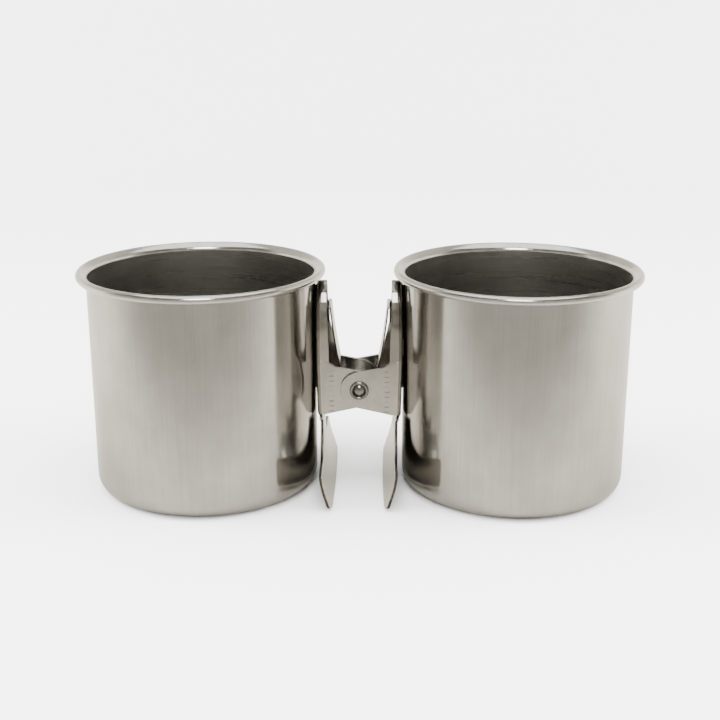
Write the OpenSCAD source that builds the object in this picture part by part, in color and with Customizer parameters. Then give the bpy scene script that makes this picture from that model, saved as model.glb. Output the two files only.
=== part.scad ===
// Two palette cups on one sprung clip. Left and right are as seen from the front, the -Y side.
// The origin is on the table, midway between the cups.

/* [Cups] */
// Outer radius of the cup wall
cup_r = 25.3; // [20:0.1:32]
// Height of the cup over its rolled rim
cup_h = 50.4; // [50:0.1:60]
// Thickness of the drawn sheet
cup_t = 0.55; // [0.4:0.05:0.8]
// Outer radius of the corner between base and wall
cup_base_r = 3.6; // [2:0.1:8]
// How far the rolled rim stands out from the wall
rim_out = 2.2; // [2.1:0.1:4]
// Radius of the rim's roll, to the middle of the sheet
rim_roll_r = 0.6; // [0.45:0.05:0.8]
// Radius of the bend where the wall flares out
rim_flare_r = 1.2; // [0.6:0.1:1.4]
// Angle of the flared lip from upright
rim_flare_angle = 62; // [50:1:75]
// Angle of the rolled sheet's end from upright
rim_roll_end = 300; // [230:5:310]

/* [Clip halves] */
// Thickness of the clip's sheet
sheet_t = 0.7; // [0.5:0.05:0.8]
// Distance from the clip's middle to the back of each lever
web_x = 9.45; // [9:0.05:11]
// Half the width over the inner half's ears
inner_half_w = 4.9; // [4.8:0.1:6]
// Half the width of the lever's narrow end
lever_half_w = 4.9; // [4.5:0.1:4.9]
// Outer radius of the bend between web and flange
bend_r = 1.3; // [1:0.1:1.6]
// Height where the lever starts to narrow to its rounded end
lever_round_z = 37.2; // [34:0.1:38]
// Height of the lever's end
lever_top_z = 47.4; // [46:0.1:47.8]
// Depth of the lever's tray at its rounded end
tray_depth = 2.25; // [1.8:0.05:2.4]
// Depth of the lever's flange where it sweeps out into the ears
flange_depth = 2.65; // [2.5:0.05:3]
// Length of the lever's end over which the tray keeps its depth
tray_even_h = 4.4; // [3:0.1:6]

/* [Ears and pivot] */
// Height of the pivot
pivot_z = 23.4; // [22.5:0.1:25]
// Radius of the ear's rounded end
ear_r = 4.2; // [3.8:0.1:4.8]
// Height of the ear's upper corner above the pivot
ear_top = 5.3; // [5:0.1:6]
// Distance of the ear's lower corner below the pivot
ear_bottom = 6; // [5.6:0.1:7]
// How far the ear's lower corner stands in from the lever's back
ear_foot_in = 1.9; // [1.5:0.1:2.2]
// Radius of the sweep from the flange's edge out to the ear's upper corner
ear_sweep_r = 6.1; // [5:0.1:7]
// Angle that this sweep turns through
ear_sweep_turn = 37; // [30:1:42]
// Radius of the rivet's shank
shank_r = 1.5; // [1.2:0.05:1.8]
// Radius of the rivet's head
head_r = 2.15; // [2:0.05:2.6]
// Height of the straight edge of the rivet's head
head_edge_h = 0.12; // [0.05:0.01:0.2]
// Radius of the domed middle of the rivet's head
dome_r = 1.35; // [1:0.05:1.4]
// Height of that dome above the groove round it
dome_h = 0.5; // [0.3:0.05:0.7]
// Radius of the bore in the rivet's clinched end
rivet_bore_r = 0.8; // [0.5:0.05:0.9]
// Depth of that bore
rivet_bore_depth = 4; // [2:0.5:8]
// Outer radius of the spacer sleeve
sleeve_r = 2.85; // [2.6:0.05:3.2]

/* [Jaws] */
// Half the width of each fan jaw
jaw_half_w = 20; // [16:0.5:23]
// Height of the straight neck between the relief notches and the sweep into the fan
jaw_neck_h = 1; // [0.2:0.1:1.4]
// Radius of the sweep from the neck into the fan
jaw_sweep_r = 7; // [5:0.1:7.2]
// Radius of the fan's lower corners
jaw_corner_r = 3; // [1:0.1:4]
// How far the jaw is set in from the lever's back
jaw_set_in = 0.75; // [0.2:0.05:1]
// Radius of the fan's upper corners
jaw_wing_r = 1.2; // [0.8:0.1:2]
// Height of the jaw's lip above the table
jaw_lip_z = 0.6; // [0.4:0.1:1.6]
// Height where the jaw bends towards its lip
jaw_bend_z = 7.4; // [6:0.1:8]
// Outer radius of that bend
jaw_bend_r = 6; // [3:0.1:7]
// Angle that the lip is turned in
jaw_lip_angle = 24; // [10:1:30]
// Radius of the relief notch between ear and fan
notch_r = 0.5; // [0.4:0.05:0.6]

/* [Spring] */
// Thickness of the spring strip
strip_t = 0.32; // [0.25:0.01:0.4]
// Gap between each edge of the strip and the inner ear beside it
strip_side_gap = 0.2; // [0.15:0.01:0.25]
// Lean of each arm from upright where it leaves the sleeve
arm_lean = 15; // [14:0.5:17]
// Distance of each hairpin turn below the lever's end
tip_drop = 5.7; // [5:0.1:6.4]
// Radius of each hairpin turn, to the middle of the strip
turn_r = 0.3; // [0.22:0.01:0.34]
// Length of the short leg that comes back down from each turn
leg_length = 3; // [1:0.1:4]

/* [Spot welds] */
// Radius of each weld nugget
weld_r = 2.2; // [1:0.1:3]
// Height of the lower weld
weld_low_z = 24.4; // [21:0.1:28]
// Height of the upper weld
weld_high_z = 39.5; // [36:0.1:41]
// Gap between cup wall and lever, which the welds fill
weld_gap = 0.35; // [0.3:0.05:0.8]

/* [Fits] */
// Gap at each side between an inner ear and the outer ear over it
ear_gap = 0.08; // [0.05:0.01:0.2]
// Radial running clearance of the inner ears on the shank
run_gap = 0.05; // [0.02:0.01:0.09]
// Radial clearance of the outer ears and the sleeve on the shank
seat_gap = 0.02; // [0.01:0.01:0.05]
// Gap at the sleeve's ends, under the rivet's heads and at the spring's seats
end_gap = 0.04; // [0.02:0.01:0.1]

/* [Hidden] */
$fn = 96;
arc_steps = 8;
slice = 0.01;
beyond = 1;
steel = [0.66, 0.64, 0.61];
clip_steel = [0.78, 0.77, 0.74];
spring_steel = [0.72, 0.73, 0.74];
weld_grey = [0.42, 0.41, 0.40];

// Cups
cup_x = web_x + weld_gap + cup_r;
rim_r = cup_r + rim_out;
wall_mid_r = cup_r - cup_t / 2;
base_mid_r = cup_base_r - cup_t / 2;
roll_x = rim_r - cup_t / 2 - rim_roll_r;
roll_z = cup_h - cup_t / 2 - rim_roll_r;
lip_x = roll_x - rim_roll_r * cos(rim_flare_angle);
lip_z = roll_z + rim_roll_r * sin(rim_flare_angle);
lip_run = lip_x - wall_mid_r - rim_flare_r * (1 - cos(rim_flare_angle));
flare_z = lip_z - lip_run / tan(rim_flare_angle) - rim_flare_r * sin(rim_flare_angle);

// Clip halves
pivot = [0, pivot_z];
outer_half_w = inner_half_w + ear_gap + sheet_t;
ear_top_z = pivot_z + ear_top;
ear_bottom_z = pivot_z - ear_bottom;
ear_foot_x = web_x - ear_foot_in;
channel_lap = 1.3;
channel_top_z = ear_top_z + channel_lap;
sweep_top_z = ear_top_z + ear_sweep_r * sin(ear_sweep_turn);
flange_x = web_x - flange_depth;
tray_x = web_x - tray_depth;
tray_even_z = lever_top_z - tray_even_h;
lever_rings = 6;
ear_reach = web_x + ear_r + beyond;

// Jaws
neck_out = 0.1;
set_in_top = 0.2;
set_in_h = 1.4;
neck_top_z = ear_bottom_z - 2 * notch_r;
jaw_wing_z = neck_top_z - jaw_neck_h - jaw_sweep_r;
neck_mid_x = web_x - sheet_t / 2;
jaw_mid_x = neck_mid_x - jaw_set_in;
jaw_bend_mid_r = jaw_bend_r - sheet_t / 2;

// Rivet
head_ring_r = (head_r - dome_r) / 2;
clinch_ring_r = (head_r - rivet_bore_r) / 2;
bore_tip_h = 0.4;

// Spring
strip_w = 2 * (inner_half_w - sheet_t - strip_side_gap);
strip_mid_r = sleeve_r + end_gap + strip_t / 2;
sleeve_half = inner_half_w - sheet_t - end_gap;
arm_start = [strip_mid_r * cos(arm_lean), pivot_z - strip_mid_r * sin(arm_lean)];
edge_low = [flange_x, sweep_top_z];
edge_run = [tray_x, tray_even_z] - edge_low;
leg_lean = atan2(edge_run[0], edge_run[1]);
turn_share = (lever_top_z - tip_drop - edge_low[1]) / edge_run[1];
turn_off = turn_r + strip_t / 2 + end_gap;
turn_centre = edge_low + edge_run * turn_share - turn_off * [cos(leg_lean), -sin(leg_lean)];
lean_tries = 8;
tip_lean = settled_lean(arm_lean / 2, lean_tries);
arm_end = turn_centre - turn_r * [cos(tip_lean), -sin(tip_lean)];
arm_bow_r = (arm_end - arm_start)[1] / (sin(arm_lean) - sin(tip_lean));

// Lean of the arm's end for which one arc joins the sleeve's side to the hairpin turn, in n tries
function settled_lean(lean, n) =
    let (span = turn_centre - turn_r * [cos(lean), -sin(lean)] - arm_start)
    n == 0 ? lean : settled_lean(2 * atan2(span[0], span[1]) - arm_lean, n - 1);

// Points on an arc about c, from angle a0 to a1
function arc(c, r, a0, a1, n = arc_steps) =
    [for (i = [0 : n]) let (a = a0 + (a1 - a0) * i / n) c + r * [cos(a), sin(a)]];

// Unit normal at point i of a path, to the left of the way the path runs
function path_normal(p, i) =
    let (d = p[min(i + 1, len(p) - 1)] - p[max(i - 1, 0)]) [-d[1], d[0]] / norm(d);

// Outline of a strip of thickness t that follows a path
function strip_outline(p, t) = concat(
    [for (i = [0 : len(p) - 1]) p[i] + path_normal(p, i) * t / 2],
    [for (i = [len(p) - 1 : -1 : 0]) p[i] - path_normal(p, i) * t / 2]);

// The same points with x turned over
function flipped(p) = [for (q = p) [-q[0], q[1]]];

// A list without its first point
function after_first(p) = [for (i = [1 : len(p) - 1]) p[i]];

// A list in the other order
function reversed(p) = [for (i = [len(p) - 1 : -1 : 0]) p[i]];

// Point where a line from p touches the circle of radius r about c, on the side that s gives
function touch_point(p, c, r, s) =
    let (v = p - c, a = atan2(v[1], v[0]) + s * acos(r / norm(v))) c + r * [cos(a), sin(a)];

// Extrudes a shape drawn in x and z along Y, to each side of the middle
module along_y(half) {
    rotate([90, 0, 0])
        translate([0, 0, -half])
            linear_extrude(height = 2 * half)
                children();
}

// Extrudes a shape drawn in y and z along X, from x0 to x1
module along_x(x0, x1) {
    translate([x0, 0, 0])
        rotate([90, 0, 90])
            linear_extrude(height = x1 - x0)
                children();
}

// One side of the cup's sheet, s = 1 outside and -1 inside, from the centre of the base to the rim's end
function cup_side(s) = concat(
    [[0, (1 - s) * cup_t / 2]],
    arc([wall_mid_r - base_mid_r, cup_base_r], base_mid_r + s * cup_t / 2, -90, 0),
    arc([wall_mid_r + rim_flare_r, flare_z], rim_flare_r - s * cup_t / 2, 180, 180 - rim_flare_angle),
    arc([roll_x, roll_z], rim_roll_r - s * cup_t / 2, 180 - rim_flare_angle, 180 - rim_roll_end,
        2 * arc_steps));

module cup() {
    rotate_extrude()
        polygon(concat(cup_side(1), reversed(cup_side(-1))));
}

module left_cup() {
    color(steel)
        translate([-cup_x, 0, 0])
            cup();
}

module right_cup() {
    color(steel)
        translate([cup_x, 0, 0])
            cup();
}

// Section of the channel: a rectangle whose two web corners are rounded
module channel_section(half_w, edge, depth) {
    translate([edge, -half_w])
        square([depth - edge, 2 * half_w]);
    translate([0, edge - half_w])
        square([edge + slice, 2 * (half_w - edge)]);
    for (side = [-1, 1])
        translate([edge, side * (half_w - edge)])
            circle(r = edge, $fn = 48);
}

// One disc of the lever's outline, its edge rounded on the web side
module lever_disc(r, edge, depth) {
    rotate([0, 90, 0])
        rotate_extrude($fn = 64)
            polygon(concat([[0, 0]], arc([r - edge, edge], edge, -90, 0, 6), [[r, depth], [0, depth]]));
}

// Solid form of the lever above its ears, t inside the outer face: parallel below, then half an ellipse
module lever_form(half_w, t) {
    b = lever_top_z - lever_round_z;
    span = sqrt(b * b - lever_half_w * lever_half_w);
    depth = flange_depth + beyond;
    hull() {
        for (i = [0 : lever_rings - 1]) {
            s = span * span / b * i / (lever_rings - 1);
            translate([0, 0, lever_round_z + s])
                lever_disc(lever_half_w * sqrt(1 - s * s / (span * span)) - t, bend_r - t, depth);
        }
        translate([0, 0, channel_top_z])
            linear_extrude(height = slice)
                channel_section(half_w - t, bend_r - t, depth, $fn = 32);
    }
}

// Solid form of one whole half above the jaw, t inside the outer face
module half_form(half_w, t) {
    translate([t - web_x, 0, 0]) {
        lever_form(half_w, t);
        translate([0, 0, ear_bottom_z - beyond])
            linear_extrude(height = channel_top_z + slice - ear_bottom_z + beyond)
                channel_section(half_w - t, bend_r - t, ear_reach);
    }
}

// Side view of the lever and its ear, which the free edges follow
module side_outline() {
    sweep = arc([ear_sweep_r - flange_x, sweep_top_z], ear_sweep_r, 180, 180 + ear_sweep_turn);
    ear_corner = sweep[len(sweep) - 1];
    ear_foot = [-ear_foot_x, ear_bottom_z];
    polygon(concat(
        [[-web_x - beyond, ear_bottom_z], [-web_x - beyond, lever_top_z + beyond],
         [-tray_x, lever_top_z + beyond], [-tray_x, tray_even_z]],
        sweep,
        [touch_point(ear_corner, pivot, ear_r, -1), touch_point(ear_foot, pivot, ear_r, 1), ear_foot]));
    translate(pivot)
        circle(r = ear_r);
}

// Front half of the fan jaw's outline in y and z, with its neck
function fan_points(half_w) = let (flat = half_w - bend_r, neck = half_w + neck_out) concat(
    [[0, ear_bottom_z + beyond], [flat, ear_bottom_z + beyond], [flat, ear_bottom_z], [flat, neck_top_z],
     [neck, neck_top_z]],
    arc([neck + jaw_sweep_r, jaw_wing_z + jaw_sweep_r], jaw_sweep_r, 180, 270, 2 * arc_steps),
    arc([jaw_half_w - jaw_wing_r, jaw_wing_z - jaw_wing_r], jaw_wing_r, 90, 0),
    arc([jaw_half_w - jaw_corner_r, jaw_lip_z + jaw_corner_r], jaw_corner_r, 0, -90),
    [[0, jaw_lip_z]]);

// Middle of the jaw's sheet in x and z: set in at the neck, straight down, then turned in to the lip
function jaw_path() =
    let (bend = arc([jaw_bend_mid_r - jaw_mid_x, jaw_bend_z], jaw_bend_mid_r, 180, 180 + jaw_lip_angle),
         last = bend[len(bend) - 1])
    concat([[-neck_mid_x, ear_bottom_z + 2 * beyond], [-neck_mid_x, ear_bottom_z - set_in_top],
            [-jaw_mid_x, ear_bottom_z - set_in_top - set_in_h]], bend,
           [last + (last[1] + beyond) * [tan(jaw_lip_angle), -1]]);

// The fan jaw, a flat plate with its lip turned in
module jaw(half_w) {
    intersection() {
        along_y(jaw_half_w + beyond)
            polygon(strip_outline(jaw_path(), sheet_t));
        along_x(-web_x - beyond, 0)
            difference() {
                union() {
                    polygon(fan_points(half_w));
                    mirror([1, 0])
                        polygon(fan_points(half_w));
                }
                for (side = [-1, 1])
                    translate([side * (half_w - bend_r), ear_bottom_z - notch_r])
                        circle(r = notch_r, $fn = 24);
            }
    }
}

// One half of the clip, drawn as the left one
module clip_half(half_w, bore_r) {
    difference() {
        union() {
            intersection() {
                difference() {
                    half_form(half_w, 0);
                    half_form(half_w, sheet_t);
                }
                along_y(half_w + beyond)
                    side_outline();
            }
            jaw(half_w);
        }
        translate([0, 0, pivot_z])
            rotate([90, 0, 0])
                cylinder(r = bore_r, h = 2 * (half_w + beyond), center = true);
    }
}

module inner_half() {
    color(clip_steel)
        clip_half(inner_half_w, shank_r + run_gap);
}

module outer_half() {
    color(clip_steel)
        mirror([1, 0, 0])
            clip_half(outer_half_w, shank_r + seat_gap);
}

// Rivet: a head with a ring round a dome in front, a clinched ring round a blind bore behind
module pivot_rivet() {
    seat = outer_half_w + end_gap;
    ring_base = seat + head_edge_h;
    bore_end = rivet_bore_depth - seat;
    dome_ball_r = (dome_r * dome_r + dome_h * dome_h) / (2 * dome_h);
    dome_edge = acos(dome_r / dome_ball_r);
    color(clip_steel)
        translate([0, 0, pivot_z])
            rotate([90, 0, 0])
                rotate_extrude()
                    polygon(concat(
                        [[0, bore_end], [rivet_bore_r, bore_end - bore_tip_h]],
                        arc([rivet_bore_r + clinch_ring_r, -seat], clinch_ring_r, 180, 360),
                        [[shank_r, -seat], [shank_r, seat], [head_r, seat]],
                        arc([dome_r + head_ring_r, ring_base], head_ring_r, 0, 180),
                        arc([0, ring_base + dome_h - dome_ball_r], dome_ball_r, dome_edge, 90)));
}

// Spacer sleeve on the rivet, between the inner ears
module spacer_sleeve() {
    color(clip_steel)
        translate([0, 0, pivot_z])
            rotate([90, 0, 0])
                difference() {
                    cylinder(r = sleeve_r, h = 2 * sleeve_half, center = true);
                    cylinder(r = shank_r + seat_gap, h = 2 * sleeve_half + beyond, center = true);
                }
}

// Right half of the spring's path: from under the sleeve, up the arm, round the turn and down the leg
turn_arc = arc(turn_centre, turn_r, 180 - tip_lean, -leg_lean, 2 * arc_steps);
spring_half = concat(
    arc(pivot, strip_mid_r, 270, 360 - arm_lean, 2 * arc_steps),
    after_first(arc(arm_start + arm_bow_r * [-cos(arm_lean), sin(arm_lean)], arm_bow_r,
                    -arm_lean, -tip_lean)),
    after_first(turn_arc),
    [turn_arc[2 * arc_steps] - leg_length * [sin(leg_lean), cos(leg_lean)]]);

module spring() {
    color(spring_steel)
        along_y(strip_w / 2)
            polygon(strip_outline(concat(reversed(flipped(spring_half)), after_first(spring_half)), strip_t));
}

// Weld nuggets between one lever's back and its cup, drawn for the left cup
module welds() {
    for (z = [weld_low_z, weld_high_z])
        difference() {
            translate([-web_x - weld_gap - beyond, 0, z])
                rotate([0, 90, 0])
                    cylinder(r = weld_r, h = weld_gap + beyond, $fn = 48);
            translate([-cup_x, 0, 0])
                cylinder(r = cup_r, h = cup_h, $fn = 360);
        }
}

module left_welds() {
    color(weld_grey)
        welds();
}

module right_welds() {
    color(weld_grey)
        mirror([1, 0, 0])
            welds();
}

left_cup();
right_cup();
inner_half();
outer_half();
pivot_rivet();
spacer_sleeve();
spring();
left_welds();
right_welds();
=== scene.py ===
import math
import bmesh
import bpy
from mathutils import Matrix, Vector


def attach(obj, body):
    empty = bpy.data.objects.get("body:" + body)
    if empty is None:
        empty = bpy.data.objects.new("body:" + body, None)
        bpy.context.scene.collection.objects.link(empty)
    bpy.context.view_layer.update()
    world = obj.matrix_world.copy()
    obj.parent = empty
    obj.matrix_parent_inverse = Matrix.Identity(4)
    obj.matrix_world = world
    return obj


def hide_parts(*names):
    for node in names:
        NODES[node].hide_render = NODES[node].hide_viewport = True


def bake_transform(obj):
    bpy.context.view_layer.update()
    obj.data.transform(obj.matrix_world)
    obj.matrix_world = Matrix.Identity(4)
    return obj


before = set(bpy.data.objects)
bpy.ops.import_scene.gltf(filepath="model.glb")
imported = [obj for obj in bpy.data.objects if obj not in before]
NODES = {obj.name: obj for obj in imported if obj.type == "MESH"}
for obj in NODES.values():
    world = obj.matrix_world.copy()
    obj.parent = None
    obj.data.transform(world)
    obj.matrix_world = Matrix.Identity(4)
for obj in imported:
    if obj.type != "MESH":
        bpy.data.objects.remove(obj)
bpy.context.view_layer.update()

MM = 0.001

# Sizes in millimetres, as in the part's source
CUP_R, CUP_H, CUP_T, CUP_BASE_R = 25.3, 50.4, 0.55, 3.6
RIM_OUT, RIM_ROLL_R, RIM_FLARE_R = 2.2, 0.6, 1.2
RIM_FLARE_ANGLE, RIM_ROLL_END = 62.0, 300.0
CUP_X, PIVOT_Z, SHEET_T, WEB_X = 35.1, 23.4, 0.7, 9.45
INNER_HALF_W, EAR_GAP, END_GAP, SEAT_GAP = 4.9, 0.08, 0.04, 0.02
SHANK_R, HEAD_R, HEAD_EDGE_H, DOME_R, DOME_H = 1.5, 2.15, 0.12, 1.35, 0.5
RIVET_BORE_R, RIVET_BORE_DEPTH, BORE_TIP_H, SLEEVE_R = 0.8, 4.0, 0.4, 2.85
STRIP_T, STRIP_SIDE_GAP, ARM_LEAN, TIP_DROP, TURN_R, LEG_LENGTH = 0.32, 0.2, 15.0, 5.7, 0.3, 3.0
LEVER_TOP_Z, TRAY_DEPTH, TRAY_EVEN_H, FLANGE_DEPTH = 47.4, 2.25, 4.4, 2.65
EAR_TOP, EAR_SWEEP_R, EAR_SWEEP_TURN, CHANNEL_RISE = 5.3, 6.1, 37.0, 1.3
JAW_TOP_Z, FLANGE_EDGE_X, SHELL_INNER_X = 17.4, 7.3, 8.6
NECK_Z, JAW_FLAT_Z, JAW_BEND_Z, JAW_MID_X, JAW_BEND_R, JAW_LEAN = 17.2, 15.8, 7.4, 8.35, 5.65, 24.0
JAW_HALF_W, JAW_LIP_Z, JAW_CORNER_R = 20.0, 0.6, 3.0
TRAY_END_Z = LEVER_TOP_Z - TRAY_EVEN_H
FLANGE_X, TRAY_X = WEB_X - FLANGE_DEPTH, WEB_X - TRAY_DEPTH
SWEEP_TOP_Z = PIVOT_Z + EAR_TOP + EAR_SWEEP_R * math.sin(math.radians(EAR_SWEEP_TURN))
SWEEP_END_Z = PIVOT_Z + EAR_TOP
CHANNEL_TOP_Z = SWEEP_END_Z + CHANNEL_RISE

# Forms of the clip that the photograph shows otherwise than the CAD solids, in millimetres
BACK_OUT, BACK_RAMP_Z, PIVOT_CLEAR_X = 0.28, 19.0, 4.5
BOW_Z, BOW_R, WING_OUT, TIP_R = 10.6, 20.65, 0.35, 1.3
CORNER_TOP_Z, CORNER_R, GUSSET_TOP_Z, GUSSET_IN, SHIFT_END_Z = 30.1, 1.0, 38.0, 1.65, 27.7
WELD_HEIGHTS, WELD_HALF_W, WELD_BULGE, WELD_SINK = ((22.3, 29.9), (33.7, 46.4)), 2.2, 0.12, 0.03

# Where the halves are cut across so that they can follow those forms, in millimetres
JAW_CUT_PITCH, JAW_CUTS, JAW_CUT_MARGIN = 0.8, 18, 0.1
JAW_CUTS_Y = (-18, -15, -12, -8, -3, 3, 8, 12, 15, 18)
LEVER_CUTS_Z = (28.9, 29.15, 29.4, 29.65, 29.9, CORNER_TOP_Z, 31.2, 33.4, 35, 36.5, GUSSET_TOP_Z)

# Mesh work on the halves, in metres and degrees, and on the strip, in millimetres
JOIN_DIST, CUT_DIST, EDGE_ROUND = 0.00003, 1e-7, 0.00009
FLAT_ANGLE, CORNER_ANGLE = 0.5, 50
STRIP_EDGE_ROUND, LEG_STEPS = 0.05, 6

# Press marks on the front ears and the painted dark reflection on the lever ends, in metres; the dash is a
# share of the pitch
MARK_X, MARK_LOW_Z, MARK_HIGH_Z, MARK_FRONT_Y = 0.0062, 0.0178, 0.0283, -0.0043
MARK_PITCH, MARK_DASH, MARK_WANDER, MARK_FULL, MARK_END = 0.00118, 0.17, 0.0006, 0.0007, 0.001
PAINTED_REFLECTION_LOW_Z, PAINTED_REFLECTION_HIGH_Z = 0.036, 0.0385


def arc(cx, cy, r, a0, a1, n):
    """Points on an arc about (cx, cy), from angle a0 to a1 in degrees."""
    turn = [math.radians(a0 + (a1 - a0) * i / n) for i in range(n + 1)]
    return [(cx + r * math.cos(a), cy + r * math.sin(a)) for a in turn]


def finish_mesh(me, mats, sharp):
    for m in mats:
        me.materials.append(m)
    me.shade_smooth()
    me.set_sharp_from_angle(angle=math.radians(sharp))
    me.update()


def add_object(name, me):
    ob = bpy.data.objects.new(name, me)
    bpy.context.scene.collection.objects.link(ob)
    return ob


def mesh_object(name, verts, faces, mats, face_mats=None, sharp=40):
    """A mesh from points in millimetres."""
    me = bpy.data.meshes.new(name)
    me.from_pydata([tuple(c * MM for c in v) for v in verts], [], faces)
    me.validate()
    if face_mats:
        me.polygons.foreach_set("material_index", face_mats)
    finish_mesh(me, mats, sharp)
    return add_object(name, me)


def face_outward(ob):
    bm = bmesh.new()
    bm.from_mesh(ob.data)
    bmesh.ops.recalc_face_normals(bm, faces=bm.faces)
    bm.to_mesh(ob.data)
    bm.free()


def revolve(name, outline, seg, mats, part_of=None, sharp=40):
    """Turns a closed (r, z) outline round Z; points at r = 0 become poles."""
    verts, rows = [], []
    for r, z in outline:
        if r < 1e-6:
            rows.append([len(verts)] * seg)
            verts.append((0, 0, z))
        else:
            rows.append(list(range(len(verts), len(verts) + seg)))
            verts += [(x, y, z) for x, y in arc(0, 0, r, 0, 360, seg)[:-1]]
    faces, face_mats = [], []
    for i in range(len(outline)):
        j = (i + 1) % len(outline)
        if outline[i][0] < 1e-6 and outline[j][0] < 1e-6:
            continue
        for k in range(seg):
            n = (k + 1) % seg
            f = [rows[i][k], rows[i][n], rows[j][n], rows[j][k]]
            faces.append([v for a, v in enumerate(f) if v != f[a - 1]])
            face_mats.append(part_of(i) if part_of else 0)
    return mesh_object(name, verts, faces, mats, face_mats, sharp)


def rgb(r, g, b):
    return (r, g, b, 1.0)


class Graph:
    """A metal with helpers that add nodes to it."""

    def __init__(self, name):
        self.mat = bpy.data.materials.new(name)
        self.mat.use_nodes = True
        self.tree = self.mat.node_tree
        self.bsdf = self.tree.nodes["Principled BSDF"]
        self.obj = self.node("ShaderNodeTexCoord").outputs["Object"]

    def node(self, kind, **props):
        n = self.tree.nodes.new(kind)
        for k, v in props.items():
            setattr(n, k, v)
        return n

    def put(self, socket, v):
        if isinstance(v, bpy.types.NodeSocket):
            self.tree.links.new(v, socket)
        else:
            socket.default_value = v

    def math(self, op, a, b=None, c=None):
        n = self.node("ShaderNodeMath", operation=op)
        for i, v in enumerate((a, b, c)):
            if v is not None:
                self.put(n.inputs[i], v)
        return n.outputs[0]

    def scaled(self, xyz):
        n = self.node("ShaderNodeVectorMath", operation="MULTIPLY")
        self.put(n.inputs[0], self.obj)
        n.inputs[1].default_value = xyz
        return n.outputs[0]

    def noise(self, xyz, detail=3.0, rough=0.5, w=0.0):
        n = self.node("ShaderNodeTexNoise", noise_dimensions="4D")
        n.inputs["W"].default_value = w
        self.put(n.inputs["Vector"], self.scaled(xyz))
        n.inputs["Scale"].default_value = 1.0
        n.inputs["Detail"].default_value = detail
        n.inputs["Roughness"].default_value = rough
        return n.outputs[0]

    def remap(self, v, a, b, c, d, smooth=False):
        n = self.node("ShaderNodeMapRange")
        if smooth:
            n.interpolation_type = "SMOOTHSTEP"
        self.put(n.inputs[0], v)
        for i, x in enumerate((a, b, c, d)):
            self.put(n.inputs[1 + i], x)
        return n.outputs[0]

    def mix(self, f, a, b):
        n = self.node("ShaderNodeMix", data_type="RGBA")
        self.put(n.inputs[0], f)
        self.put(n.inputs[6], a)
        self.put(n.inputs[7], b)
        return n.outputs[2]

    def bump(self, h, strength, dist, normal=None):
        n = self.node("ShaderNodeBump")
        self.put(n.inputs["Height"], h)
        n.inputs["Strength"].default_value = strength
        n.inputs["Distance"].default_value = dist
        if normal is not None:
            self.put(n.inputs["Normal"], normal)
        return n.outputs[0]

    def xyz(self, source=None):
        n = self.node("ShaderNodeSeparateXYZ")
        self.put(n.inputs[0], source or self.obj)
        return n.outputs

    def spots(self, scale, share, size):
        """1 in small dots: one cell in 1 / (1 - share) of a Voronoi pattern holds one."""
        n = self.node("ShaderNodeTexVoronoi", feature="F1")
        self.put(n.inputs["Vector"], self.obj)
        n.inputs["Scale"].default_value = scale
        picked = self.math("GREATER_THAN", self.xyz(n.outputs["Color"])[0], share)
        return self.math("MULTIPLY", self.remap(n.outputs["Distance"], size * 0.6, size, 1.0, 0.0), picked)

    def metal(self, **sockets):
        self.bsdf.inputs["Metallic"].default_value = 1.0
        for k, v in sockets.items():
            self.put(self.bsdf.inputs[k.replace("_", " ")], v)
        return self.mat


def cup_outside():
    """Drawn steel: fine upright streaks, soft clouds, a slow wave in the wall and a few pits."""
    g = Graph("cup_outside")
    streak = g.noise((2400, 2400, 45), 2, 0.6)
    fine = g.noise((9000, 9000, 500), 2, 0.5)
    cloud = g.noise((55, 55, 75), 4, 0.6)
    blot = g.noise((210, 210, 140), 3, 0.55, 2.0)
    tone = g.math("ADD", g.math("MULTIPLY", cloud, 0.6), g.math("MULTIPLY", blot, 0.4))
    base = g.mix(g.remap(tone, 0.35, 0.65, 0.0, 1.0, True), rgb(0.45, 0.44, 0.415), rgb(0.54, 0.53, 0.505))
    base = g.mix(g.remap(streak, 0.35, 0.7, 0.0, 0.3), base, rgb(0.32, 0.31, 0.29))
    base = g.mix(g.spots(105, 0.9, 0.02), base, rgb(0.06, 0.05, 0.04))
    rough = g.math("ADD", g.remap(cloud, 0.3, 0.7, 0.085, 0.14), g.math("MULTIPLY", fine, 0.04))
    wave = g.noise((60, 60, 26), 2, 0.5, 5.0)
    normal = g.bump(streak, 0.10, 0.000012, g.bump(wave, 0.5, 0.00012))
    return g.metal(Base_Color=base, Roughness=rough, Normal=normal)


def cup_inside():
    """The inside, with fine level lines left by the drawing die."""
    g = Graph("cup_inside")
    ring = g.noise((25, 25, 2600), 3, 0.6)
    cloud = g.noise((60, 60, 60), 4, 0.6, 3.0)
    base = g.mix(g.remap(cloud, 0.3, 0.7, 0.0, 1.0, True), rgb(0.485, 0.475, 0.45), rgb(0.545, 0.535, 0.51))
    base = g.mix(g.remap(ring, 0.35, 0.7, 0.0, 0.05), base, rgb(0.40, 0.39, 0.365))
    rough = g.remap(ring, 0.3, 0.7, 0.27, 0.29)
    return g.metal(Base_Color=base, Roughness=rough, Normal=g.bump(ring, 0.03, 0.000005))


def cup_lip():
    g = Graph("cup_lip")
    cloud = g.noise((160, 160, 160), 4, 0.6, 1.0)
    fine = g.noise((900, 900, 4000), 2, 0.5)
    base = g.mix(g.remap(cloud, 0.3, 0.7, 0.0, 1.0, True), rgb(0.51, 0.50, 0.475), rgb(0.60, 0.59, 0.565))
    rough = g.remap(fine, 0.3, 0.7, 0.12, 0.2)
    return g.metal(Base_Color=base, Roughness=rough, Normal=g.bump(cloud, 0.2, 0.00004))


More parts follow.
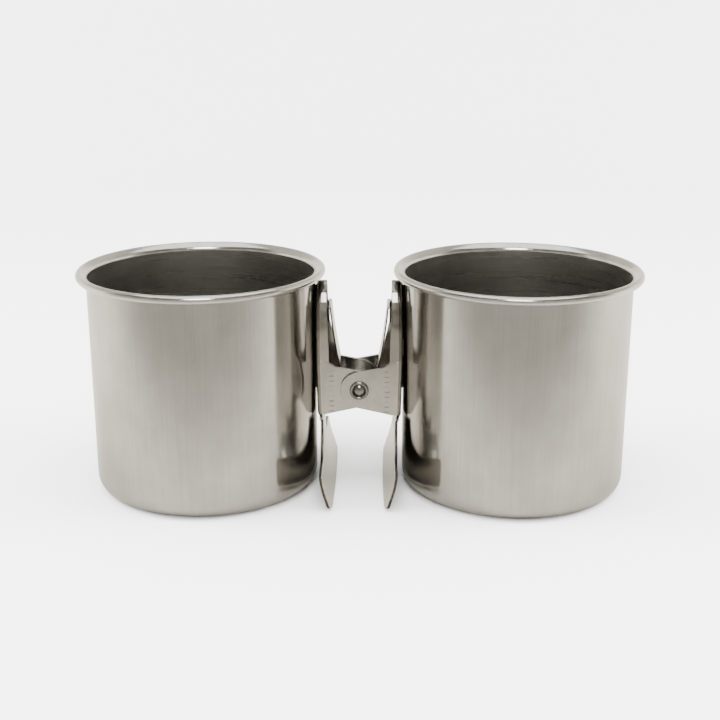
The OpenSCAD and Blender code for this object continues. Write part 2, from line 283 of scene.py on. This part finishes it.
def press_marks(g):
    """1 on two upright rows of short level dashes that the press left on the front ears."""
    x, y, z = g.xyz()[:3]
    wander = g.noise((500, 500, 900), 2, 0.5, 7.0)
    off_row = g.math("ABSOLUTE", g.math("SUBTRACT", g.math("ABSOLUTE", x), MARK_X))
    strayed = g.math("ADD", off_row, g.math("MULTIPLY", wander, MARK_WANDER))
    inside = g.remap(strayed, MARK_FULL, MARK_END, 1.0, 0.0)
    phase = g.math("FRACT", g.math("DIVIDE", z, MARK_PITCH))
    dash = g.remap(g.math("ABSOLUTE", g.math("SUBTRACT", phase, 0.5)), MARK_DASH * 0.5, MARK_DASH, 1.0, 0.0)
    low = g.math("GREATER_THAN", z, MARK_LOW_Z)
    high = g.math("LESS_THAN", z, MARK_HIGH_Z)
    front = g.math("LESS_THAN", y, MARK_FRONT_Y)
    faint = g.remap(wander, 0.38, 0.6, 0.15, 1.0)
    out = inside
    for part in (dash, low, high, front, faint):
        out = g.math("MULTIPLY", out, part)
    return out


def clip_sheet():
    g = Graph("clip_polish")
    cloud = g.noise((260, 260, 200), 4, 0.6)
    grain = g.noise((2500, 2500, 700), 3, 0.6)
    marks = press_marks(g)
    base = g.mix(g.remap(cloud, 0.3, 0.7, 0.0, 1.0, True), rgb(0.37, 0.355, 0.325), rgb(0.44, 0.425, 0.395))
    base = g.mix(g.remap(grain, 0.45, 0.75, 0.0, 0.3), base, rgb(0.27, 0.255, 0.23))
    # The lever ends are darkened upwards from about 36 mm: a painted dark reflection of their curved tips.
    height = g.remap(g.xyz()[2], PAINTED_REFLECTION_LOW_Z, PAINTED_REFLECTION_HIGH_Z, 0.0, 1.0, True)
    painted_reflection = g.math("MULTIPLY", height, g.remap(cloud, 0.35, 0.6, 0.9, 0.35))
    base = g.mix(painted_reflection, base, rgb(0.10, 0.09, 0.075))
    base = g.mix(g.math("MULTIPLY", marks, 0.7), base, rgb(0.10, 0.09, 0.07))
    rough = g.math("ADD", g.remap(cloud, 0.3, 0.7, 0.13, 0.2), g.math("MULTIPLY", grain, 0.08))
    normal = g.bump(marks, 0.3, -0.00003, g.bump(grain, 0.15, 0.00002))
    return g.metal(Base_Color=base, Roughness=rough, Normal=normal)


def small_steel(name, dark, light, rough, scale=400):
    g = Graph(name)
    cloud = g.noise((scale,) * 3, 4, 0.6)
    fine = g.noise((scale * 9,) * 3, 2, 0.6)
    base = g.mix(g.remap(cloud, 0.3, 0.7, 0.0, 1.0, True), dark, light)
    spread = g.math("ADD", g.remap(cloud, 0.3, 0.7, rough, rough + 0.08), g.math("MULTIPLY", fine, 0.05))
    return g.metal(Base_Color=base, Roughness=spread, Normal=g.bump(fine, 0.12, 0.00002))


OUTSIDE, INSIDE, LIP, CLIP = cup_outside(), cup_inside(), cup_lip(), clip_sheet()
# Near-black cut edges of the sheet: painted shade along the sheet's edges.
CUT_EDGE_SHADE = small_steel("sheared_edge_painted_shade", rgb(0.035, 0.03, 0.024), rgb(0.085, 0.075, 0.06), 0.3, 900)
# The jaws' inner faces get a near-white copy of the clip's steel: a painted reflection of the bright
# surroundings.
JAW_PAINTED_REFLECTION = small_steel("jaw_painted_reflection", rgb(0.84, 0.83, 0.81), rgb(0.93, 0.92, 0.90), 0.1, 250)
RIVET = small_steel("rivet_bright", rgb(0.16, 0.155, 0.145), rgb(0.24, 0.235, 0.22), 0.07)
SLEEVE = small_steel("sleeve_steel", rgb(0.34, 0.33, 0.3), rgb(0.44, 0.43, 0.4), 0.18)
SPRING = small_steel("spring_strip", rgb(0.52, 0.51, 0.49), rgb(0.62, 0.61, 0.59), 0.12, 250)
# Near-black edges of the strip: painted shade between the strip's legs.
STRIP_EDGE = small_steel("spring_edge_painted_shade", rgb(0.025, 0.023, 0.02), rgb(0.06, 0.055, 0.05), 0.34, 900)
# Near-black weld patches: painted shade in the contact between each lever and its cup.
WELD = small_steel("weld_painted_shade", rgb(0.035, 0.03, 0.025), rgb(0.09, 0.08, 0.065), 0.45)


def cup_profile():
    """The cup's closed outline, and where its outer side and its lip begin and end."""
    wall, base = CUP_R - CUP_T / 2, CUP_BASE_R - CUP_T / 2
    roll_x = CUP_R + RIM_OUT - CUP_T / 2 - RIM_ROLL_R
    roll_z = CUP_H - CUP_T / 2 - RIM_ROLL_R
    s, c = math.sin(math.radians(RIM_FLARE_ANGLE)), math.cos(math.radians(RIM_FLARE_ANGLE))
    lip_x, lip_z = roll_x - RIM_ROLL_R * c, roll_z + RIM_ROLL_R * s
    run = lip_x - wall - RIM_FLARE_R * (1 - c)
    flare_z = lip_z - run * c / s - RIM_FLARE_R * s
    base_rings, wall_rings = (0.0, 8.0, 16.0), (8, 14, 20, 26, 32, 38, 43)

    def side(k):
        h = k * CUP_T / 2
        line = [(r, CUP_T / 2 - h) for r in base_rings]
        line += arc(wall - base, CUP_BASE_R, base + h, -90, 0, 20)
        line += [(wall + h, z) for z in wall_rings]
        line += arc(wall + RIM_FLARE_R, flare_z, RIM_FLARE_R - h, 180, 180 - RIM_FLARE_ANGLE, 14)
        line += arc(roll_x, roll_z, RIM_ROLL_R - h, 180 - RIM_FLARE_ANGLE, 180 - RIM_ROLL_END, 36)
        return line

    outer = side(1)
    return outer + side(-1)[::-1], len(outer), len(base_rings) + 21 + len(wall_rings)


def make_cup(name, x, body, node):
    outline, n_outer, lip_from = cup_profile()

    def part(i):
        if i < n_outer:
            return 0 if i < lip_from + 4 else 2
        return 2 if len(outline) - 1 - i > lip_from + 1 else 1

    ob = revolve(name, outline, 240, [OUTSIDE, INSIDE, LIP], part, 50)
    ob.location = (x * MM, 0, 0)
    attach(ob, body)
    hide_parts(node)


def sheared(face):
    """Whether a face of a stamped half is a cut edge of the sheet: jaws stand across X, ears across Y."""
    middle, n = face.calc_center_median() / MM, face.normal
    if middle.z < JAW_TOP_Z:
        return abs(n.x) < 0.5
    return abs(middle.x) < FLANGE_EDGE_X and abs(n.y) < 0.5


def level_seam(edge):
    """Whether an edge is part of the level seam where the CAD's lever and channel meet."""
    z = [v.co.z / MM for v in edge.verts]
    return abs(z[0] - z[1]) < 0.02 and abs(z[0] - CHANNEL_TOP_Z) < 0.15


def share(v, low, high):
    """How far v lies on the way from low to high, held between 0 and 1."""
    return min(max((v - low) / (high - low), 0.0), 1.0)


def sharper_tip(y, z):
    """The jaw's lower corner drawn out from its CAD radius to TIP_R."""
    u, v = y - (JAW_HALF_W - JAW_CORNER_R), JAW_LIP_Z + JAW_CORNER_R - z
    r = math.hypot(u, v)
    if u <= 0 or v <= 0 or r < 0.01:
        return y, z
    c, s, k = u / r, v / r, JAW_CORNER_R - TIP_R
    grow = JAW_CORNER_R / max(c, s)
    if grow * min(c, s) > k:
        grow = k * (c + s) + math.sqrt((k * (c + s)) ** 2 - 2 * k * k + TIP_R ** 2)
    grow /= JAW_CORNER_R
    return y + u * (grow - 1), z - v * (grow - 1)


def bowed_jaw(a, y, z):
    """A jaw's point moved from the CAD's short bend to one long bow; a is the distance from the middle."""
    if z > JAW_FLAT_Z:
        return a, y, z
    y, z = sharper_tip(y, z)
    centre, lean, straight = JAW_MID_X - JAW_BEND_R, math.radians(JAW_LEAN), JAW_FLAT_Z - JAW_BEND_Z
    turn = math.atan2(JAW_BEND_Z - z, a - centre)
    if turn <= 0:
        s, n = JAW_FLAT_Z - z, a - JAW_MID_X
    elif turn <= lean:
        s, n = straight + JAW_BEND_R * turn, math.hypot(a - centre, JAW_BEND_Z - z) - JAW_BEND_R
    else:
        da = a - centre - JAW_BEND_R * math.cos(lean)
        dz = z - JAW_BEND_Z + JAW_BEND_R * math.sin(lean)
        s = straight + JAW_BEND_R * lean - da * math.sin(lean) - dz * math.cos(lean)
        n = da * math.cos(lean) - dz * math.sin(lean)
    bow = max(s - JAW_FLAT_Z + BOW_Z, 0.0) / BOW_R
    new_z = BOW_Z - (BOW_R + n) * math.sin(bow) if bow > 0 else JAW_FLAT_Z - s
    new_a = JAW_MID_X - BOW_R + (BOW_R + n) * math.cos(bow)
    return new_a + WING_OUT * (y / JAW_HALF_W) ** 2 * share(-new_z, -BOW_Z, 0.0) ** 2, y, new_z


def free_edge(z):
    """Where the lever's free edge lies in the CAD, as a distance from the middle."""
    if z > SWEEP_TOP_Z:
        return FLANGE_X + (TRAY_X - FLANGE_X) * share(z, SWEEP_TOP_Z, TRAY_END_Z)
    drop = SWEEP_TOP_Z - max(z, SWEEP_END_Z)
    return FLANGE_X - EAR_SWEEP_R + math.sqrt(EAR_SWEEP_R ** 2 - drop ** 2)


def reshaped_lever(a, y, z):
    """Back a little nearer to the cup, a small corner at the near ear and a long gusset at the far one."""
    back = BACK_OUT * share(a, FLANGE_EDGE_X, SHELL_INNER_X) * share(z, JAW_TOP_Z, BACK_RAMP_Z)
    if not SHIFT_END_Z < z < GUSSET_TOP_Z:
        return a + back, y, z
    level = max(z, SWEEP_END_Z)
    edge = free_edge(level)
    if y > 0:
        taper = GUSSET_IN * (GUSSET_TOP_Z - level) / (GUSSET_TOP_Z - SWEEP_END_Z)
        new = free_edge(max(level, SWEEP_TOP_Z)) - taper
    elif level > CORNER_TOP_Z:
        new = free_edge(max(level, SWEEP_TOP_Z))
    else:
        drop = CORNER_TOP_Z - level
        new = FLANGE_X - CORNER_R + math.sqrt(max(CORNER_R ** 2 - drop ** 2, 0.0))
        new += (edge - new) * share(drop, 0.9 * CORNER_R, CORNER_TOP_Z - SWEEP_END_Z)
    held = share(-a, -SHELL_INNER_X, -edge) * share(z, SHIFT_END_Z, SWEEP_END_Z)
    return a + back + (new - edge) * held, y, z


def slice_mesh(bm, normal, places, below=1000.0):
    """Cuts the faces under a height across, so that they can follow a bow."""
    for place in places:
        part = [f for f in bm.faces if all(v.co.z < below * MM for v in f.verts)]
        geom = part + list({e for f in part for e in f.edges}) + list({v for f in part for v in f.verts})
        point = Vector(normal) * place * MM
        bmesh.ops.bisect_plane(bm, geom=geom, dist=CUT_DIST, plane_co=point, plane_no=normal)


def reshape(bm):
    """Moves the half's points to the forms that the photograph shows."""
    jaw_cuts = [JAW_LIP_Z + JAW_CUT_PITCH * i for i in range(1, JAW_CUTS + 1)]
    slice_mesh(bm, (0, 0, 1), jaw_cuts + [JAW_FLAT_Z, NECK_Z])
    slice_mesh(bm, (0, 0, 1), LEVER_CUTS_Z)
    slice_mesh(bm, (0, 1, 0), JAW_CUTS_Y, JAW_FLAT_Z + JAW_CUT_MARGIN)
    for v in bm.verts:
        x, y, z = v.co / MM
        side = -1 if x < 0 else 1
        far = -1 if y < 0 else 1
        if z < NECK_Z:
            a, y, z = bowed_jaw(abs(x), abs(y), z)
            v.co = Vector((side * a, far * y, z)) * MM
        elif z > JAW_TOP_Z and abs(x) > PIVOT_CLEAR_X:
            a, y, z = reshaped_lever(abs(x), y, z)
            v.co = Vector((side * a, y, z)) * MM


def make_half(name, body, node):
    """The stamped half, reshaped, its edges broken to catch the light and its jaw's inner faces given a
    painted bright reflection.
    """
    bm = bmesh.new()
    bm.from_mesh(NODES[node].data)
    bmesh.ops.remove_doubles(bm, verts=bm.verts, dist=JOIN_DIST)
    flat, corner = math.radians(FLAT_ANGLE), math.radians(CORNER_ANGLE)
    bmesh.ops.dissolve_limit(bm, angle_limit=flat, verts=bm.verts, edges=bm.edges)
    reshape(bm)
    bm.normal_update()
    creases = [e for e in bm.edges if len(e.link_faces) == 2 and e.calc_face_angle(0.0) > corner]
    corners = [e for e in creases if not level_seam(e)]
    rounded = set(bmesh.ops.bevel(bm, geom=corners, offset=EDGE_ROUND, segments=2, profile=0.5,
                                  affect="EDGES", clamp_overlap=False)["faces"])
    bm.normal_update()
    for f in bm.faces:
        middle = f.calc_center_median()
        # The jaws' inner faces take the painted bright reflection.
        jaw_inside = middle.z < JAW_FLAT_Z * MM and f.normal.x * middle.x < 0
        # Flat cut edge faces take the painted shade.
        f.material_index = 1 if sheared(f) and f not in rounded else 2 if jaw_inside else 0
    me = bpy.data.meshes.new(name)
    bm.to_mesh(me)
    bm.free()
    finish_mesh(me, [CLIP, CUT_EDGE_SHADE, JAW_PAINTED_REFLECTION], 35)
    ob = add_object(name, me)
    ob.modifiers.new("even_normals", "WEIGHTED_NORMAL").keep_sharp = True
    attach(ob, body)
    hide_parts(node)


def across(ob):
    """Lays a turned piece along Y at the pivot, its +Z end to the front."""
    ob.data.transform(Matrix.Translation((0, 0, PIVOT_Z * MM)) @ Matrix.Rotation(math.radians(90), 4, "X"))


def make_rivet():
    seat = INNER_HALF_W + EAR_GAP + SHEET_T + END_GAP
    ring_base, bore_end = seat + HEAD_EDGE_H, RIVET_BORE_DEPTH - seat
    head_ring, clinch_ring = (HEAD_R - DOME_R) / 2, (HEAD_R - RIVET_BORE_R) / 2
    ball = (DOME_R ** 2 + DOME_H ** 2) / (2 * DOME_H)
    edge = math.degrees(math.acos(DOME_R / ball))
    line = [(0.0, bore_end), (RIVET_BORE_R, bore_end - BORE_TIP_H)]
    line += arc(RIVET_BORE_R + clinch_ring, -seat, clinch_ring, 180, 360, 24)
    line += [(SHANK_R, -seat), (SHANK_R, seat), (HEAD_R, seat)]
    line += arc(DOME_R + head_ring, ring_base, head_ring, 0, 180, 20)
    line += arc(0.0, ring_base + DOME_H - ball, ball, edge, 90, 16)[1:-1]
    line += [(0.0, ring_base + DOME_H)]
    ob = revolve("pivot_rivet_turned", line, 72, [RIVET], sharp=45)
    across(ob)
    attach(ob, "outer_side")
    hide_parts("pivot_rivet")


def make_sleeve():
    half, ease = INNER_HALF_W - SHEET_T - END_GAP, 0.12
    bore = SHANK_R + SEAT_GAP
    line = [(bore, -half), (SLEEVE_R - ease, -half), (SLEEVE_R, ease - half)]
    line += [(SLEEVE_R, half - ease), (SLEEVE_R - ease, half), (bore, half)]
    ob = revolve("spacer_sleeve_turned", line, 96, [SLEEVE], sharp=30)
    across(ob)
    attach(ob, "outer_side")
    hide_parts("spacer_sleeve")


def spring_path():
    """Right half of the strip's middle line in x and z, as in the part's source."""
    mid_r = SLEEVE_R + END_GAP + STRIP_T / 2
    lean = math.radians(ARM_LEAN)
    start = Vector((mid_r * math.cos(lean), PIVOT_Z - mid_r * math.sin(lean)))
    low = Vector((FLANGE_X, SWEEP_TOP_Z))
    run = Vector((TRAY_X, TRAY_END_Z)) - low
    leg = math.atan2(run.x, run.y)
    off = TURN_R + STRIP_T / 2 + END_GAP
    centre = low + run * ((LEVER_TOP_Z - TIP_DROP - low.y) / run.y)
    centre -= off * Vector((math.cos(leg), -math.sin(leg)))
    tip = lean / 2
    for _ in range(8):
        end = centre - TURN_R * Vector((math.cos(tip), -math.sin(tip)))
        span = end - start
        tip = 2 * math.atan2(span.x, span.y) - lean
    bow = span.y / (math.sin(lean) - math.sin(tip))
    bow_c = start + bow * Vector((-math.cos(lean), math.sin(lean)))
    tip_d, leg_d = math.degrees(tip), math.degrees(leg)
    line = arc(0, PIVOT_Z, mid_r, 270, 360 - ARM_LEAN, 24)
    line += arc(bow_c.x, bow_c.y, bow, -ARM_LEAN, -tip_d, 24)[1:]
    turn = arc(centre.x, centre.y, TURN_R, 180 - tip_d, -leg_d, 20)
    step, (last_x, last_z) = LEG_LENGTH / LEG_STEPS, turn[-1]
    s, c = math.sin(leg), math.cos(leg)
    legs = [(last_x - step * i * s, last_z - step * i * c) for i in range(1, LEG_STEPS + 1)]
    return line + turn[1:] + legs


def make_spring():
    half = spring_path()
    path = [(-x, z) for x, z in reversed(half)] + half[1:]
    w, t, e = INNER_HALF_W - SHEET_T - STRIP_SIDE_GAP, STRIP_T / 2, STRIP_EDGE_ROUND
    section = [(-w + e, t), (w - e, t), (w, t - e), (w, e - t)]
    section += [(w - e, -t), (-w + e, -t), (-w, e - t), (-w, t - e)]
    verts, faces, face_mats = [], [], []
    for i, (x, z) in enumerate(path):
        a, b = path[max(i - 1, 0)], path[min(i + 1, len(path) - 1)]
        d = Vector((b[0] - a[0], b[1] - a[1])).normalized()
        verts += [(x - d.y * n, y, z + d.x * n) for y, n in section]
    size = len(section)
    for i in range(len(path) - 1):
        for k in range(size):
            n = (k + 1) % size
            faces.append([i * size + k, i * size + n, (i + 1) * size + n, (i + 1) * size + k])
            face_mats.append(0 if k in (0, 4) else 1)
    faces += [list(range(size))[::-1], [(len(path) - 1) * size + k for k in range(size)]]
    face_mats += [1, 1]
    ob = mesh_object("strip_spring", verts, faces, [SPRING, STRIP_EDGE], face_mats, 50)
    face_outward(ob)
    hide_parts("spring")
    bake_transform(ob)


def make_welds(name, side, body, node):
    """Upright weld patches between the lever's back and the cup, as tall as the dark contact that shows;
    their near-black colour is painted shade of that contact.
    """
    verts, faces = [], []
    for low, high in WELD_HEIGHTS:
        w, seg = WELD_HALF_W, 16
        ring = arc(0, high - w, w, 0, 180, seg) + arc(0, low + w, w, 180, 360, seg)
        start, size = len(verts), len(ring)
        for across_gap, grow in ((0.0, 1.0), (0.5, 1.0 + WELD_BULGE), (1.0, 1.0)):
            for y, z in ring:
                lever = WEB_X + BACK_OUT - WELD_SINK
                wall = CUP_X - math.sqrt(CUP_R ** 2 - y * y) + WELD_SINK
                verts.append((side * (lever + (wall - lever) * across_gap), y * grow, z))
        for row in (start, start + size):
            for k in range(size):
                n = (k + 1) % size
                faces.append([row + k, row + n, row + size + n, row + size + k])
        faces += [list(range(start, start + size)), list(range(start + 2 * size, start + 3 * size))]
    ob = mesh_object(name, verts, faces, [WELD])
    face_outward(ob)
    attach(ob, body)
    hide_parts(node)


make_cup("left_cup_shell", -CUP_X, "inner_side", "left_cup")
make_cup("right_cup_shell", CUP_X, "outer_side", "right_cup")
make_half("inner_half_stamped", "inner_side", "inner_half")
make_half("outer_half_stamped", "outer_side", "outer_half")
make_rivet()
make_sleeve()
make_spring()
make_welds("left_weld_patches", -1, "inner_side", "left_welds")
make_welds("right_weld_patches", 1, "outer_side", "right_welds")


# The studio: a round white tent. Light for the paper and what the steel mirrors are set apart.
# The mirrored copy's warm tint is painted warm light; its grey changes from front to back between these
# depths, in metres, as painted shade.
WARM_LIGHT_TINT = (1.06, 1.0, 0.87)
FLOOR_CHANGE_Y = (-0.15, 0.03)
SKY_LEVEL, SKY_HIGH, SKY_ZENITH = (-0.9, 0.2, 0.3, 1.7), (0.3, 0.75, 0.0, 1.0), 3.2


def paper(name, shade):
    """Matt paper; shade is one grey, or (front, back) greys that change from front to back. The white paper
    has one grey; the two greys, warmed, are the mirrored copy's painted shade and painted warm light.
    """
    m = bpy.data.materials.new(name)
    m.use_nodes = True
    b = m.node_tree.nodes["Principled BSDF"]
    b.inputs["Roughness"].default_value = 0.95
    b.inputs["Specular IOR Level"].default_value = 0.0
    if isinstance(shade, float):
        b.inputs["Base Color"].default_value = rgb(shade, shade, shade)
        return m
    new, link = m.node_tree.nodes.new, m.node_tree.links.new
    place, split, ramp, mix = (new("ShaderNode" + k) for k in ("TexCoord", "SeparateXYZ", "MapRange", "Mix"))
    ramp.interpolation_type = "SMOOTHSTEP"
    for i, v in enumerate(FLOOR_CHANGE_Y + (0.0, 1.0)):
        ramp.inputs[1 + i].default_value = v
    mix.data_type = "RGBA"
    mix.inputs[6].default_value = rgb(*(shade[0] * w for w in WARM_LIGHT_TINT))
    mix.inputs[7].default_value = rgb(*(shade[1] * w for w in WARM_LIGHT_TINT))
    link(place.outputs["Object"], split.inputs[0])
    link(split.outputs[1], ramp.inputs[0])
    link(ramp.outputs[0], mix.inputs[0])
    link(mix.outputs[2], b.inputs["Base Color"])
    return m


def tent(name, lift, mat):
    """A round floor that curves up into a wall."""
    flat, bend, top, seg = 420.0, 300.0, 1100.0, 96
    line = [(0.0, lift)] + [(r, lift) for r in (60.0, 150.0, 280.0)]
    line += arc(flat, bend + lift, bend, -90, 0, 18) + [(flat + bend, top)]
    verts = [(x, y, z) for r, z in line for x, y in arc(0, 0, r, 0, 360, seg)[:-1]]
    faces = []
    for i in range(len(line) - 1):
        for k in range(seg):
            n = (k + 1) % seg
            faces.append([i * seg + k, i * seg + n, (i + 1) * seg + n, (i + 1) * seg + k])
    ob = mesh_object(name, verts, faces, [mat])
    bm = bmesh.new()
    bm.from_mesh(ob.data)
    bmesh.ops.remove_doubles(bm, verts=bm.verts, dist=1e-6)
    bm.to_mesh(ob.data)
    bm.free()
    return ob


# Each light has a name, a place and a size in metres, and watts. Only the glint shows in the steel.
GLINT = ("glint_light", (0.0, -0.5, 0.42), 0.2, 2.2)
TOP_LIGHT = ("top_light", (0.0, -0.12, 0.95), 0.6, 15.5)
LEFT_LIGHT = ("left_light", (-0.52, -0.05, 0.5), 0.4, 12.0)
RIGHT_LIGHT = ("right_light", (0.52, -0.05, 0.5), 0.4, 12.0)


def studio():
    seen = tent("paper_tent", 0.0, paper("white_paper", 0.75))
    seen.visible_glossy = False
    # The steel mirrors this grey copy of the floor, darker towards the front: painted shade.
    mirrored = tent("mirrored_floor", 0.05, paper("mirrored_paper_painted_shade", (0.09, 0.29)))
    for ray in ("camera", "diffuse", "shadow", "transmission", "volume_scatter"):
        setattr(mirrored, "visible_" + ray, False)
    for name, place, size, watts in (GLINT, TOP_LIGHT, LEFT_LIGHT, RIGHT_LIGHT):
        lamp = bpy.data.lights.new(name, "AREA")
        lamp.shape, lamp.size, lamp.energy = "SQUARE", size, watts
        ob = bpy.data.objects.new(name, lamp)
        bpy.context.scene.collection.objects.link(ob)
        ob.location = place
        ob.rotation_euler = (-Vector(place)).to_track_quat("-Z", "Y").to_euler()
        ob.visible_glossy = name == GLINT[0]
        ob.visible_camera = False


def sky():
    """What the steel mirrors above the floor: bright overhead and at the sides, dim behind the camera."""
    w = bpy.context.scene.world or bpy.data.worlds.new("world")
    bpy.context.scene.world = w
    w.use_nodes = True
    t = w.node_tree
    t.nodes.clear()
    new, link = t.nodes.new, t.links.new
    out, back = new("ShaderNodeOutputWorld"), new("ShaderNodeBackground")
    place, split = new("ShaderNodeTexCoord"), new("ShaderNodeSeparateXYZ")
    level, high, mix = new("ShaderNodeMapRange"), new("ShaderNodeMapRange"), new("ShaderNodeMix")
    link(place.outputs["Generated"], split.inputs[0])
    for n, axis, values in ((level, 1, SKY_LEVEL), (high, 2, SKY_HIGH)):
        n.interpolation_type = "SMOOTHSTEP"
        link(split.outputs[axis], n.inputs[0])
        for i, v in enumerate(values):
            n.inputs[1 + i].default_value = v
    mix.data_type = "FLOAT"
    link(high.outputs[0], mix.inputs[0])
    link(level.outputs[0], mix.inputs[2])
    mix.inputs[3].default_value = SKY_ZENITH
    link(mix.outputs[0], back.inputs[1])
    link(back.outputs[0], out.inputs[0])


studio()
sky()

# The camera, fitted to the cups' rims and bases in the photograph
AZIMUTH, ELEVATION, DISTANCE, LENS, SENSOR = 0.8, 18.08, 0.2802, 61.5, 36.0
TARGET = Vector((0, 0, 0.0252))
FOCAL_PX, TILT_PX, YAW_PX = 1230, 14.9, -0.5
az, el = math.radians(AZIMUTH), math.radians(ELEVATION)
back = Vector((math.sin(az) * math.cos(el), -math.cos(az) * math.cos(el), math.sin(el)))
lens = bpy.data.cameras.new("camera")
lens.lens, lens.sensor_width, lens.clip_start, lens.clip_end = LENS, SENSOR, 0.01, 20
camera = bpy.data.objects.new("camera", lens)
bpy.context.scene.collection.objects.link(camera)
camera.location = TARGET + back * DISTANCE
aim = (-back).to_track_quat("-Z", "Y")
yaw = Matrix.Rotation(math.atan(YAW_PX / FOCAL_PX), 3, "Y").to_quaternion()
tilt = Matrix.Rotation(math.atan(TILT_PX / FOCAL_PX), 3, "X").to_quaternion()
camera.rotation_mode = "QUATERNION"
camera.rotation_quaternion = aim @ yaw @ tilt
bpy.context.scene.camera = camera
